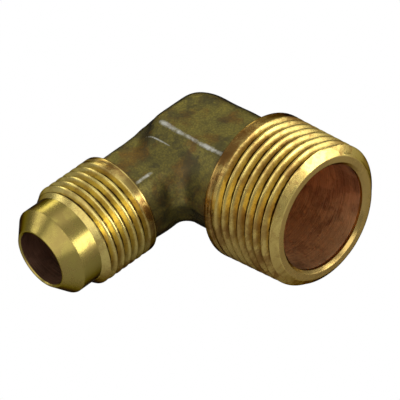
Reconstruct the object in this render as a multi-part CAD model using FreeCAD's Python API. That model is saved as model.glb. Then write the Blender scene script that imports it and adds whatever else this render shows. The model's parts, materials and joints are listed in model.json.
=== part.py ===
import FreeCAD, Part
import math
import os

from FreeCAD import Rotation, Vector

# Forged brass 90 degree male elbow: a 45 degree flare end and a taper pipe end in one piece.
# The origin is where the two bores cross. The pipe end runs out along +X and the flare end along
# -Y. The flats of the forging face +Z and -Z. Lengths are millimetres and angles are degrees.

# ---- Driving dimensions: forged body ----
BODY_RADIUS = 11.1            # round sides of the body, about the pipe end's axis
BODY_HALF_HEIGHT = 9.6        # middle plane to each wrench flat
BODY_EDGE_ROUND = 0.9         # along the edges of the wrench flats
HEEL_RADIUS = 10.35           # round back of the heel, about an axis along Y
HEEL_CENTRE = 1.8             # that axis stands this far ahead of the crossing
HEEL_CORNER_ROUND = 2.8       # outside corner where the two rounds meet

# ---- Driving dimensions: forged neck between the body and the flare end ----
NECK_RADIUS = 8.25
NECK_HALF_HEIGHT = 6.5
NECK_EDGE_ROUND = 0.8
NECK_BLEND = 2.0              # fillet where the neck grows out of the body

# ---- Driving dimensions: flare end, 3/4-16 straight thread ----
FLARE_REACH = 36.475          # crossing to the tip
FLARE_BORE_RADIUS = 5.16
FLARE_LIP = 0.45              # width of the flat ring round the mouth of the bore
FLARE_SEAT_ANGLE = 45.0       # seat cone, measured from the axis
FLARE_NOSE_RADIUS = 8.2
FLARE_NOSE_LENGTH = 3.93      # straight part behind the seat cone
FLARE_THREAD_RADIUS = 9.525
FLARE_THREAD_PITCH = 25.4 / 16
FLARE_THREAD_DEPTH = 0.974
FLARE_THREAD_ROOT_FLAT = 0.2
FLARE_THREAD_LEAD_IN = 1.2    # length of the chamfer that starts the thread
FLARE_COLLAR_LENGTH = 10.6    # thread and the plain land behind it
FLARE_LAND = 0.9              # plain land behind the last turn

# ---- Driving dimensions: pipe end, 3/4-14 taper thread ----
PIPE_REACH = 32.3             # crossing to the end face
PIPE_BORE_RADIUS = 9.62
PIPE_BORE_DEPTH = 14.8
PIPE_MOUTH_CHAMFER = 0.53
PIPE_FACE_RADIUS = 11.29      # outer edge of the flat end face
PIPE_LEAD_IN = 1.1            # length of the chamfer that starts the thread
PIPE_THREAD_RADIUS = 12.965   # crest radius where the lead-in chamfer ends
PIPE_THREAD_TAPER = 1.0 / 32  # growth of the radius for each unit of length
PIPE_THREAD_PITCH = 25.4 / 14
PIPE_THREAD_DEPTH = 1.25
PIPE_THREAD_ROOT_FLAT = 0.1
PIPE_COLLAR_LENGTH = 15.7     # thread and the plain land behind it
PIPE_LAND = 1.1               # plain land behind the last turn
SHOULDER_BLEND = 0.7          # fillet behind each collar
SHOULDER_SHARE = 0.6          # most of a collar's step that its fillet may take

# ---- Driving dimensions: waterway and machining ----
WATERWAY_RADIUS = 7.5
WATERWAY_BACK = 1.0           # full radius of the waterway ends this far behind the crossing
DRILL_POINT_ANGLE = 118.0
THREAD_FLANK_ANGLE = 30.0     # half of the thread's included angle
THREAD_OVERCUT = 0.12         # how far the groove cutter stands out of the crest
RUN_OUT_TURNS = 0.5           # turns over which the last groove fades out
FLARE_RUN_OUT_ANGLE = -124.0  # where each groove starts to fade, about its own axis
PIPE_RUN_OUT_ANGLE = 3.0
SEAM_ANGLE = 90.0             # seam of each turned face, kept away from the run-outs
AIR = 1.0                     # how far a cutter starts outside the metal

# ---- Directions ----
ORIGIN = Vector(0, 0, 0)
PIPE_WAY = Vector(1, 0, 0)
FLARE_WAY = Vector(0, -1, 0)
UP = Vector(0, 0, 1)


def turned(points, way):
    """Closed solid turned about an axis from (distance, radius) points on its outline."""
    corners = [Vector(radius, 0, distance) for distance, radius in points]
    face = Part.Face(Part.makePolygon(corners + corners[:1]))
    solid = face.revolve(ORIGIN, UP, 360)
    solid.rotate(ORIGIN, UP, SEAM_ANGLE)
    solid.rotate(ORIGIN, *axis_turn(way))
    return solid


def axis_turn(way):
    """Axis and angle that carry +Z onto a direction."""
    turn = Rotation(UP, way)
    return turn.Axis, math.degrees(turn.Angle)


def drill(radius, mouth, end, way):
    """Round drill with a conical point: full radius from the mouth to the end distance."""
    point = radius / math.tan(math.radians(DRILL_POINT_ANGLE / 2))
    outline = [(mouth, 0), (mouth, radius), (end, radius), (end - point, 0)]
    return turned(outline, way)


def flatted_bar(radius, half_height, start, end, way):
    """Round bar from start to end along a direction, with a flat above and a flat below."""
    bar = Part.makeCylinder(radius, end - start, way * start, way)
    reach = 2 * (abs(start) + abs(end) + radius)
    slab = Part.makeBox(reach, reach, 2 * half_height, Vector(-reach / 2, -reach / 2, -half_height))
    return bar.common(slab)


def on_flat(edge, half_height):
    """True for an edge that lies in one of the two flats."""
    box = edge.BoundBox
    return box.ZLength < 0.01 and abs(abs(box.ZMin) - half_height) < 0.01


def forged_body():
    """Round-sided body with wrench flats, its heel turned round the outside corner."""
    length = PIPE_REACH - PIPE_COLLAR_LENGTH
    bar = flatted_bar(BODY_RADIUS, BODY_HALF_HEIGHT, -2 * BODY_RADIUS, length, PIPE_WAY)
    reach = 3 * BODY_RADIUS
    heel = Part.makeCylinder(HEEL_RADIUS, 2 * reach, Vector(HEEL_CENTRE, -reach, 0), Vector(0, 1, 0))
    ahead = Part.makeBox(reach + length, 2 * reach, 2 * reach, Vector(HEEL_CENTRE, -reach, -reach))
    body = bar.common(heel.fuse(ahead)).removeSplitter().Solids[0]
    corner = [edge for edge in body.Edges
              if edge.BoundBox.XMax < 0 and edge.BoundBox.YMin > 0 and edge.BoundBox.ZLength > 1]
    body = body.makeFillet(HEEL_CORNER_ROUND, corner)
    rims = [edge for edge in body.Edges
            if on_flat(edge, BODY_HALF_HEIGHT) and edge.BoundBox.XMin < length - 0.01]
    return body.makeFillet(BODY_EDGE_ROUND, rims)


def forged_neck():
    """Flatted bar that joins the body to the collar of the flare end."""
    collar_back = flare_thread_front() - FLARE_COLLAR_LENGTH
    bar = flatted_bar(NECK_RADIUS, NECK_HALF_HEIGHT, 0, collar_back, FLARE_WAY)
    rims = [edge for edge in bar.Edges
            if on_flat(edge, NECK_HALF_HEIGHT) and edge.BoundBox.YLength > 1]
    return bar.makeFillet(NECK_EDGE_ROUND, rims)


def touches(edge, solid):
    """True for an edge that lies on a solid all along its length."""
    stations = [edge.FirstParameter + edge_part * (edge.LastParameter - edge.FirstParameter)
                for edge_part in (0.1, 0.3, 0.5, 0.7, 0.9)]
    return all(solid.distToShape(Part.Vertex(edge.valueAt(at)))[0] < 0.001 for at in stations)


def blended(first, second, radius):
    """Two solids joined into one, with a fillet along the seam between them."""
    joined = first.fuse(second).removeSplitter()
    seam = [edge for edge in joined.Edges if touches(edge, first) and touches(edge, second)]
    return joined.makeFillet(radius, seam)


def neck_blend():
    """Fillet between the body and the neck, no larger than half of the neck that shows."""
    shown = flare_thread_front() - FLARE_COLLAR_LENGTH - BODY_RADIUS
    return min(NECK_BLEND, shown / 2)


def neck_shoulder_blend():
    """Fillet between the neck and the flare end's collar, within the step and the neck that shows."""
    shown = flare_thread_front() - FLARE_COLLAR_LENGTH - BODY_RADIUS
    step = FLARE_THREAD_RADIUS - NECK_RADIUS
    return min(SHOULDER_BLEND, shown / 4, step * SHOULDER_SHARE)


def pipe_back_radius():
    """Radius of the taper at the back of the pipe end's collar."""
    return PIPE_THREAD_RADIUS + PIPE_THREAD_TAPER * (PIPE_COLLAR_LENGTH - PIPE_LEAD_IN)


def pipe_shoulder_blend():
    """Fillet between the body and the pipe end's collar, within the step between them."""
    return min(SHOULDER_BLEND, (pipe_back_radius() - BODY_RADIUS) * SHOULDER_SHARE)


def flare_thread_front():
    """Distance from the crossing to where the flare thread reaches its full radius."""
    return flare_nose_back() - FLARE_THREAD_LEAD_IN


def flare_nose_back():
    """Distance from the crossing to the back of the straight nose."""
    rise = FLARE_NOSE_RADIUS - FLARE_BORE_RADIUS - FLARE_LIP
    return FLARE_REACH - rise / math.tan(math.radians(FLARE_SEAT_ANGLE)) - FLARE_NOSE_LENGTH


def flare_collar():
    """Turned outside of the flare end: thread blank, nose and seat cone."""
    front = flare_thread_front()
    nose_back = flare_nose_back()
    outline = [
        (front - FLARE_COLLAR_LENGTH, 0),
        (front - FLARE_COLLAR_LENGTH, FLARE_THREAD_RADIUS),
        (front, FLARE_THREAD_RADIUS),
        (nose_back, FLARE_NOSE_RADIUS),
        (nose_back + FLARE_NOSE_LENGTH, FLARE_NOSE_RADIUS),
        (FLARE_REACH, FLARE_BORE_RADIUS + FLARE_LIP),
        (FLARE_REACH, 0),
    ]
    return turned(outline, FLARE_WAY)


def pipe_collar():
    """Turned outside of the pipe end: taper thread blank with its lead-in chamfer."""
    front = PIPE_REACH - PIPE_LEAD_IN
    back = PIPE_REACH - PIPE_COLLAR_LENGTH
    outline = [
        (back, 0),
        (back, pipe_back_radius()),
        (front, PIPE_THREAD_RADIUS),
        (PIPE_REACH, PIPE_FACE_RADIUS),
        (PIPE_REACH, 0),
    ]
    return turned(outline, PIPE_WAY)


def swept(section, path):
    """Solid swept along a helix about +Z, with its section kept upright."""
    sweep = Part.BRepOffsetAPI.MakePipeShell(Part.Wire(path))
    sweep.setBiNormalMode(UP)
    sweep.add(section)
    sweep.build()
    sweep.makeSolid()
    return sweep.shape()


def helix(pitch, length, radius, growth):
    """Helix about +Z from z = 0, whose radius grows by growth for each unit of z."""
    lean = math.atan(growth)
    along = 1 / math.cos(lean)
    return Part.makeHelix(pitch * along, length * along, radius, math.degrees(lean))


def groove_section(crest_radius, depth, root_flat):
    """Outline of the V-groove with its root towards the axis, at z = 0 in the XZ plane."""
    outer = crest_radius + THREAD_OVERCUT
    root = crest_radius - depth
    half_root = root_flat / 2
    half_outer = half_root + (outer - root) * math.tan(math.radians(THREAD_FLANK_ANGLE))
    corners = [
        Vector(root, 0, -half_root),
        Vector(outer, 0, -half_outer),
        Vector(outer, 0, half_outer),
        Vector(root, 0, half_root),
    ]
    return Part.Wire(Part.makePolygon(corners + corners[:1]))


def groove_length(crest_radius, depth, root_flat, pitch, taper, start, length):
    """One length of helical groove about +Z that starts at a height, no longer than one turn."""
    radius = crest_radius + taper * start
    cutter = swept(groove_section(radius, depth, root_flat), helix(pitch, length, radius, taper))
    cutter.rotate(ORIGIN, UP, 360 * start / pitch)
    cutter.translate(UP * start)
    return cutter


def groove_cutters(crest_radius, depth, root_flat, pitch, taper, length):
    """Groove along +Z from z = 0, cut a turn at a time, and the tail that climbs out behind it."""
    turns = math.ceil(length / pitch)
    cutters = [groove_length(crest_radius, depth, root_flat, pitch, taper, turn * pitch,
                             min(pitch, length - turn * pitch)) for turn in range(turns)]
    run_out = RUN_OUT_TURNS * pitch
    climb = (depth + THREAD_OVERCUT) / run_out
    tail = groove_length(crest_radius, depth, root_flat, pitch, -climb, -run_out, run_out)
    return cutters + [tail]


def threaded(solid, cutters, way, back, angle):
    """Solid with a thread cut into it from the back distance out past its end."""
    for cutter in cutters:
        cutter.rotate(ORIGIN, UP, angle)
        cutter.rotate(ORIGIN, *axis_turn(way))
        cutter.translate(way * back)
        solid = solid.cut(cutter)
    return solid


def flare_thread(solid):
    """Straight thread of the flare end."""
    land_front = flare_thread_front() - FLARE_COLLAR_LENGTH + FLARE_LAND
    back = land_front + RUN_OUT_TURNS * FLARE_THREAD_PITCH
    cutters = groove_cutters(FLARE_THREAD_RADIUS, FLARE_THREAD_DEPTH, FLARE_THREAD_ROOT_FLAT,
                             FLARE_THREAD_PITCH, 0, flare_nose_back() + AIR - back)
    return threaded(solid, cutters, FLARE_WAY, back, FLARE_RUN_OUT_ANGLE)


def pipe_thread(solid):
    """Taper thread of the pipe end."""
    land_front = PIPE_REACH - PIPE_COLLAR_LENGTH + PIPE_LAND
    back = land_front + RUN_OUT_TURNS * PIPE_THREAD_PITCH
    crest_radius = PIPE_THREAD_RADIUS + PIPE_THREAD_TAPER * (PIPE_REACH - PIPE_LEAD_IN - back)
    cutters = groove_cutters(crest_radius, PIPE_THREAD_DEPTH, PIPE_THREAD_ROOT_FLAT,
                             PIPE_THREAD_PITCH, -PIPE_THREAD_TAPER, PIPE_REACH + AIR - back)
    return threaded(solid, cutters, PIPE_WAY, back, PIPE_RUN_OUT_ANGLE)


def pipe_passage():
    """Bore of the pipe end with its mouth chamfer, and the waterway drilled on from it."""
    mouth = PIPE_REACH + AIR
    mouth_radius = PIPE_BORE_RADIUS + PIPE_MOUTH_CHAMFER
    chamfer = [
        (PIPE_REACH - PIPE_MOUTH_CHAMFER, 0),
        (PIPE_REACH - PIPE_MOUTH_CHAMFER, PIPE_BORE_RADIUS),
        (PIPE_REACH, mouth_radius),
        (mouth, mouth_radius),
        (mouth, 0),
    ]
    bore = drill(PIPE_BORE_RADIUS, mouth, PIPE_REACH - PIPE_BORE_DEPTH, PIPE_WAY)
    waterway = drill(WATERWAY_RADIUS, mouth, -WATERWAY_BACK, PIPE_WAY)
    return [turned(chamfer, PIPE_WAY), bore, waterway]


def flare_passage():
    """Bore of the flare end, drilled from the tip into the waterway."""
    return drill(FLARE_BORE_RADIUS, FLARE_REACH + AIR, 0, FLARE_WAY)


def elbow_body():
    """The whole fitting: forging, turned ends, drilled passages, then the two threads."""
    forging = blended(forged_body(), forged_neck(), neck_blend())
    forging = blended(forging, flare_collar(), neck_shoulder_blend())
    blank = blended(forging, pipe_collar(), pipe_shoulder_blend())
    drilled = blank.cut(pipe_passage() + [flare_passage()])
    return pipe_thread(flare_thread(drilled)).removeSplitter()


def main():
    """Writes the fitting's one solid."""
    os.makedirs("parts", exist_ok=True)
    solid = elbow_body().Solids[0]
    solid.exportStep("parts/elbow_body.step")
    print("elbow_body", solid.isValid(), len(solid.Faces), "faces", round(solid.Volume, 1), "mm3")


main()
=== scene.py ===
"""Looks of a forged brass flare elbow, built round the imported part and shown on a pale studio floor.

The elbow is one closed skin of rings. Its rings follow the thread grooves on both ends, fan round
the inner corner of the forging, and run back through the bores. Lengths are worked out in
millimetres in the part's own frame and become metres when the mesh is made.
"""
import json
import logging
import math
from collections.abc import Callable
from dataclasses import dataclass, field
from enum import Enum
from functools import cache
from typing import Any

import bpy
import numpy as np
from mathutils import Matrix, Vector


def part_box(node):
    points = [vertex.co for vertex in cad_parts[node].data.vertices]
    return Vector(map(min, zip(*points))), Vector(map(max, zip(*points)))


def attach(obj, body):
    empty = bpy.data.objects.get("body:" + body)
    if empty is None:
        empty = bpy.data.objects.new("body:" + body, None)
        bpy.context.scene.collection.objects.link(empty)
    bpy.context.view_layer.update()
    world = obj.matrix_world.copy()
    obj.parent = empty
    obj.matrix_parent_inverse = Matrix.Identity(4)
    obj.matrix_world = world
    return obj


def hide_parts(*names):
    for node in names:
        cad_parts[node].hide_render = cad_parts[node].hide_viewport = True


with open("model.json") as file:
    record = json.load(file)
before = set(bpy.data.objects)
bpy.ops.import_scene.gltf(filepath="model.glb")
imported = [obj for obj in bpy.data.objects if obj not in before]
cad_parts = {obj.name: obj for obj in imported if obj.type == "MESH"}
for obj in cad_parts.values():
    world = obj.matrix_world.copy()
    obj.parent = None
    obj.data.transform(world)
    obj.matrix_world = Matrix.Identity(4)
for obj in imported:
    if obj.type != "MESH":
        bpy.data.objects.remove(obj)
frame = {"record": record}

LOG = logging.getLogger("flare_elbow")
MM = 0.001
NODE = "elbow_body"
SKIN = "elbow_skin"
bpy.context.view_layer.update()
TURN = 2 * math.pi
UP = np.array([0.0, 0.0, 1.0])
SHARP_ANGLE = 35.0
HALVINGS = 26
MARKS = ("groove", "edge", "soot")

# Sizes of the turned ends that the record doesn't hold, in millimetres and degrees
FLARE_LIP = 0.45
LIP_BREAK = 0.2
FLARE_LEAD_IN = 1.2
FLARE_LAND = 0.9
PIPE_LEAD_IN = 1.1
PIPE_LAND = 1.1
PIPE_TAPER = 1 / 32
PIPE_FACE_RADIUS = 11.29
PIPE_MOUTH_CHAMFER = 0.53
DRILL_HALF_ANGLE = 59.0

# Where the threads are darkened: forging scale with painted shade behind the collars, and painted shade on
# their lower side
SCALE_AND_SHADE_REACH = 2.6
# Painted shade on the lower side of the threads: the direction it faces, the facing over which it grows, and
# its share
UNDERSIDE_SHADE = (0.0, -0.5, -0.87)
UNDERSIDE_SHADE_SPREAD = (-0.1, 1.0)
UNDERSIDE_SHADE_SHARE = 0.6

# Colours of a surface that turns away from the eye, and the facing over which it does so
GRAZING_TINT = (0.12, 0.09, 0.06, 1.0)
SHADE = (0.012, 0.010, 0.006)
RIM_START, RIM_END = 0.62, 0.92

Colour = tuple[float, float, float]
Point = tuple[float, float, float]
Pair = tuple[float, float]
Planes = tuple[np.ndarray, np.ndarray]
Measure = Callable[[np.ndarray], np.ndarray]


# ---------------------------------------------------------------------------------------------
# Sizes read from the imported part
# ---------------------------------------------------------------------------------------------

@dataclass(frozen=True)
class Interfaces:
    """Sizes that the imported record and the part's box fix, in millimetres."""

    flare_reach: float
    flare_bore: float
    flare_nose: float
    flare_nose_length: float
    flare_thread: float
    flare_collar: float
    pipe_reach: float
    pipe_bore: float
    pipe_thread: float
    pipe_collar: float
    waterway: float
    flat_height: float

    @classmethod
    def read(cls, record: dict[str, Any]) -> "Interfaces":
        """Reads the sizes from the record's mounts and the node's box.

        Args:
            record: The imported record.

        Returns:
            The fixed sizes.
        """
        mounts = {mount["name"]: mount for mount in record["mounts"]}
        size = {name: mount["dims"] for name, mount in mounts.items()}
        low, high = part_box(NODE)
        return cls(
            flare_reach=-low.y / MM,
            flare_bore=size["flare_bore"]["r_mm"],
            flare_nose=size["flare_nose"]["r_mm"],
            flare_nose_length=size["flare_nose"]["length_mm"],
            flare_thread=size["flare_thread"]["r_mm"],
            flare_collar=size["flare_thread"]["length_mm"],
            pipe_reach=high.x / MM,
            pipe_bore=size["pipe_bore"]["r_mm"],
            pipe_thread=size["pipe_thread"]["r_mm"],
            pipe_collar=size["pipe_thread"]["length_mm"],
            waterway=size["waterway"]["r_mm"],
            flat_height=mounts["top_wrench_flat"]["pos_m"][2] / MM,
        )


# ---------------------------------------------------------------------------------------------
# Shape tools: distances, outlines and the ring skin
# ---------------------------------------------------------------------------------------------

def smooth_step(low: float, high: float, value: np.ndarray) -> np.ndarray:
    """Cubic step: t * t * (3 - 2 t), where t is the value's place between low and high."""
    place = np.clip((value - low) / (high - low), 0.0, 1.0)
    return place * place * (3 - 2 * place)


def round_join(first: np.ndarray, second: np.ndarray, radius: np.ndarray | float) -> np.ndarray:
    """Union of two signed distances with a fillet.

    Formula: the larger of the radius and the smaller distance, less the length of what each
    distance falls short of the radius.

    Args:
        first: Signed distance to one solid, negative inside.
        second: Signed distance to the other solid.
        radius: Radius of the fillet, which may change from point to point.

    Returns:
        Signed distance to the joined solid.
    """
    short = np.hypot(np.maximum(radius - first, 0), np.maximum(radius - second, 0))
    return np.maximum(radius, np.minimum(first, second)) - short


def round_meet(first: np.ndarray, second: np.ndarray, radius: np.ndarray | float) -> np.ndarray:
    """Intersection of two signed distances with a rounded edge: the join, turned inside out."""
    return -round_join(-first, -second, radius)


def rounded_outline(corners: list[tuple[float, float]], radius: float, arc_steps: int,
                    run_step: float) -> np.ndarray:
    """Open outline with each inner corner rounded by a tangent arc.

    Formula: each corner is replaced by a quadratic Bezier curve whose ends lie on the two runs at
    the tangent length of an arc of the radius, and the runs between are divided evenly.

    Args:
        corners: (distance, radius) corners in order.
        radius: Radius of the rounding.
        arc_steps: Points on each rounded corner, less one.
        run_step: Longest step along a straight run.

    Returns:
        Array of (distance, radius) points.
    """
    points = np.array(corners, float)
    steps = np.linspace(0, 1, arc_steps + 1)[:, None]
    pieces = [points[:1]]
    for before, corner, after in zip(points[:-2], points[1:-1], points[2:]):
        back = (before - corner) / np.linalg.norm(before - corner)
        ahead = (after - corner) / np.linalg.norm(after - corner)
        half = math.acos(np.clip(back @ ahead, -1, 1)) / 2
        reach = radius / math.tan(half)
        start, end = corner + back * reach, corner + ahead * reach
        pieces.append((1 - steps) ** 2 * start + 2 * steps * (1 - steps) * corner + steps ** 2 * end)
    pieces.append(points[-1:])
    rounded = np.concatenate(pieces)
    filled = [rounded[:1]]
    for start, end in zip(rounded[:-1], rounded[1:]):
        count = max(1, math.ceil(np.linalg.norm(end - start) / run_step))
        share = np.linspace(0, 1, count + 1)[1:, None]
        filled.append(start + (end - start) * share)
    return np.concatenate(filled)


class Zone(Enum):
    """Part of the skin that takes one finish."""

    FORGING = 0
    FLARE_THREAD = 1
    FLARE_NOSE = 2
    FLARE_BORE = 3
    PIPE_THREAD = 4
    PIPE_FACE = 5
    PIPE_BORE = 6


@dataclass
class RingSkin:
    """Closed skin of rings of points, all with the same number of columns.

    Each block of rings keeps a table of point numbers with one more column than there are points
    round a ring, so that a ring that climbs a thread can close on the ring one turn further on.
    """

    columns: int
    points: list[np.ndarray] = field(default_factory=list)
    marks: dict[str, list[np.ndarray]] = field(default_factory=lambda: {name: [] for name in MARKS})
    tables: list[np.ndarray] = field(default_factory=list)
    zones: list[np.ndarray] = field(default_factory=list)
    count: int = 0

    def _store(self, block: np.ndarray, marks: dict[str, np.ndarray]) -> np.ndarray:
        """Keeps a block of points and its marks.

        Args:
            block: Points, rings by columns by 3.
            marks: Values by mark name, each rings by columns. A mark that isn't given is zero.

        Returns:
            The numbers of the points, rings by columns.
        """
        rings = block.shape[0]
        numbers = self.count + np.arange(rings * self.columns).reshape(rings, self.columns)
        self.points.append(block.reshape(-1, 3))
        for name, kept in self.marks.items():
            kept.append(np.broadcast_to(marks.get(name, 0.0), block.shape[:2]).reshape(-1))
        self.count += rings * self.columns
        return numbers

    def add_rings(self, block: np.ndarray, zone: Zone, **marks: np.ndarray) -> None:
        """Adds plain rings that each close on themselves.

        Args:
            block: Points, rings by columns by 3.
            zone: Finish of the faces that lead to these rings.
            **marks: Values of the marks, each rings by columns.
        """
        numbers = self._store(block, marks)
        self.tables.append(np.concatenate([numbers, numbers[:, :1]], 1))
        self.zones.append(np.full(block.shape[0], zone.value))

    def add_helix(self, block: np.ndarray, below: np.ndarray, above: np.ndarray, turn_rings: int,
                  end_ring: np.ndarray, zone: Zone, **marks: np.ndarray) -> None:
        """Adds rings that climb by one pitch in each turn, held between the last ring and an end ring.

        Args:
            block: Points, rings by columns by 3.
            below: True where a point lies before the start of the stretch.
            above: True where a point lies past its end.
            turn_rings: Rings in one turn, which the seam joins across.
            end_ring: Points of the plain ring that ends the stretch, columns by 3.
            zone: Finish of the faces.
            **marks: Values of the marks, each rings by columns.
        """
        first = self.tables[-1][-1, :-1]
        numbers = self._store(block, marks)
        last = self._store(end_ring[None], {})
        table = np.where(below, first, np.where(above, last, numbers))
        beyond = np.concatenate([table[turn_rings:, 0], np.repeat(last[0, 0], turn_rings)])
        table = np.concatenate([table, beyond[:, None]], 1)
        closing = np.concatenate([last, last[:, :1]], 1)
        self.tables.append(np.concatenate([table, closing]))
        self.zones.append(np.full(table.shape[0] + 1, zone.value))

    def mesh(self, name: str) -> bpy.types.Mesh:
        """Makes the mesh: each cell between two rings is two triangles, and empty ones are dropped.

        Args:
            name: Name of the mesh.

        Returns:
            The mesh, in metres, with its zone as the material index and its marks as attributes.
        """
        table = np.concatenate(self.tables + [self.tables[0][:1]])
        zone = np.concatenate(self.zones + [self.zones[0][:1]])[1:]
        low, high = table[:-1], table[1:]
        corners = [low[:, :-1], low[:, 1:], high[:, 1:], high[:, :-1]]
        halves = [np.stack([corners[i] for i in half], -1) for half in ((0, 1, 2), (0, 2, 3))]
        faces = np.stack(halves, 2)
        kinds = np.broadcast_to(zone[:, None, None], faces.shape[:3]).reshape(-1)
        faces = faces.reshape(-1, 3)
        whole = ((faces[:, 0] != faces[:, 1]) & (faces[:, 1] != faces[:, 2])
                 & (faces[:, 2] != faces[:, 0]))
        faces, kinds = faces[whole], kinds[whole]
        used, packed = np.unique(faces, return_inverse=True)
        points = np.concatenate(self.points)[used] * MM
        mesh = bpy.data.meshes.new(name)
        mesh.from_pydata(points, [], packed.reshape(-1, 3))
        mesh.polygons.foreach_set("material_index", kinds.astype(np.int32))
        for title, values in self.marks.items():
            attribute = mesh.attributes.new(title, "FLOAT", "POINT")
            attribute.data.foreach_set("value", np.concatenate(values)[used].astype(np.float32))
        mesh.shade_smooth()
        mesh.set_sharp_from_angle(angle=math.radians(SHARP_ANGLE))
        mesh.update()
        return mesh


# ---------------------------------------------------------------------------------------------
# Section planes
# ---------------------------------------------------------------------------------------------

@dataclass(frozen=True)
class SectionFan:
    """Section planes along the elbow: square to the flare end, round a pivot, square to the pipe end.

    A plane is a centre and an outward direction in the elbow's own plane; +Z is its other axis.
    """

    pivot_x: float
    pivot_y: float

    def along_flare(self, distance: np.ndarray) -> Planes:
        """Planes square to the flare end at distances from the crossing."""
        zero = np.zeros_like(distance)
        return np.stack([zero, -distance, zero], 1), np.stack([zero - 1, zero, zero], 1)

    def along_pipe(self, distance: np.ndarray) -> Planes:
        """Planes square to the pipe end at distances from the crossing."""
        zero = np.zeros_like(distance)
        return np.stack([distance, zero, zero], 1), np.stack([zero, zero + 1, zero], 1)

    def round_corner(self, angle: np.ndarray) -> Planes:
        """Planes through the pivot.

        Formula: the centres lie on the quarter ellipse about the pivot that touches both axes.

        Args:
            angle: Angles from 0, square to the flare end, to a quarter turn.

        Returns:
            Centres and outward directions.
        """
        zero = np.zeros_like(angle)
        way = np.stack([-np.cos(angle), np.sin(angle), zero], 1)
        reach = 1 / np.hypot(np.cos(angle) / self.pivot_x, np.sin(angle) / self.pivot_y)
        pivot = np.array([self.pivot_x, self.pivot_y, 0.0])
        return pivot + way * reach[:, None], way


def column_angles(columns: int) -> np.ndarray:
    """Angles of the columns round a section, from the outward direction towards +Z."""
    return np.arange(columns) * TURN / columns


def place_rings(planes: Planes, radius: np.ndarray) -> np.ndarray:
    """Points at a radius in each plane, for the angle of each column.

    Formula: centre + radius * (cos(angle) * outward + sin(angle) * up).

    Args:
        planes: Centres and outward directions, each rings by 3.
        radius: Radii, rings by columns.

    Returns:
        Points, rings by columns by 3.
    """
    centre, outward = planes
    angle = column_angles(radius.shape[1])
    ray = outward[:, None] * np.cos(angle)[None, :, None]
    ray = ray + UP * np.sin(angle)[None, :, None]
    return centre[:, None] + ray * radius[..., None]


def solve_rings(planes: Planes, columns: int, distance: Measure, reach: float) -> np.ndarray:
    """Points where the rays of each plane leave a solid.

    Formula: the interval from the centre to the reach is halved again and again, keeping the half
    in which the signed distance changes sign.

    Args:
        planes: Centres and outward directions.
        columns: Rays in each plane.
        distance: Function from points to signed distance, negative inside.
        reach: Length of the rays.

    Returns:
        Points, rings by columns by 3.
    """
    rings = planes[0].shape[0]
    inside = np.zeros((rings, columns))
    outside = np.full((rings, columns), reach)
    for _ in range(HALVINGS):
        middle = (inside + outside) / 2
        hollow = distance(place_rings(planes, middle)) > 0
        outside = np.where(hollow, middle, outside)
        inside = np.where(hollow, inside, middle)
    return place_rings(planes, (inside + outside) / 2)


# ---------------------------------------------------------------------------------------------
# Forged body
# ---------------------------------------------------------------------------------------------

@dataclass(frozen=True)
class DraftedSide:
    """Round side of the forging: two arcs with draft that meet in a blunt edge at the parting plane."""

    edge: float
    flat_edge: float
    flat_height: float
    draft: float

    def distance(self, across: np.ndarray, height: np.ndarray) -> np.ndarray:
        """Signed distance to the side.

        Formula: the arc passes through the parting edge with the draft's slope and through the
        flat's edge. That fixes how far its centre lies inside the parting edge, and the distance
        is the length from that centre less the arc's radius.

        Args:
            across: Distance from the middle line towards the side.
            height: Height above the parting plane.

        Returns:
            Signed distance, negative inside.
        """
        slope = math.tan(math.radians(self.draft))
        run = self.edge - self.flat_edge
        square = run ** 2 + self.flat_height ** 2
        inset = square / (2 * (run - self.flat_height * slope))
        sunk = inset * slope
        sideways = np.maximum(across + inset - self.edge, 0)
        return np.hypot(sideways, np.abs(height) + sunk) - math.hypot(inset, sunk)


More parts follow.
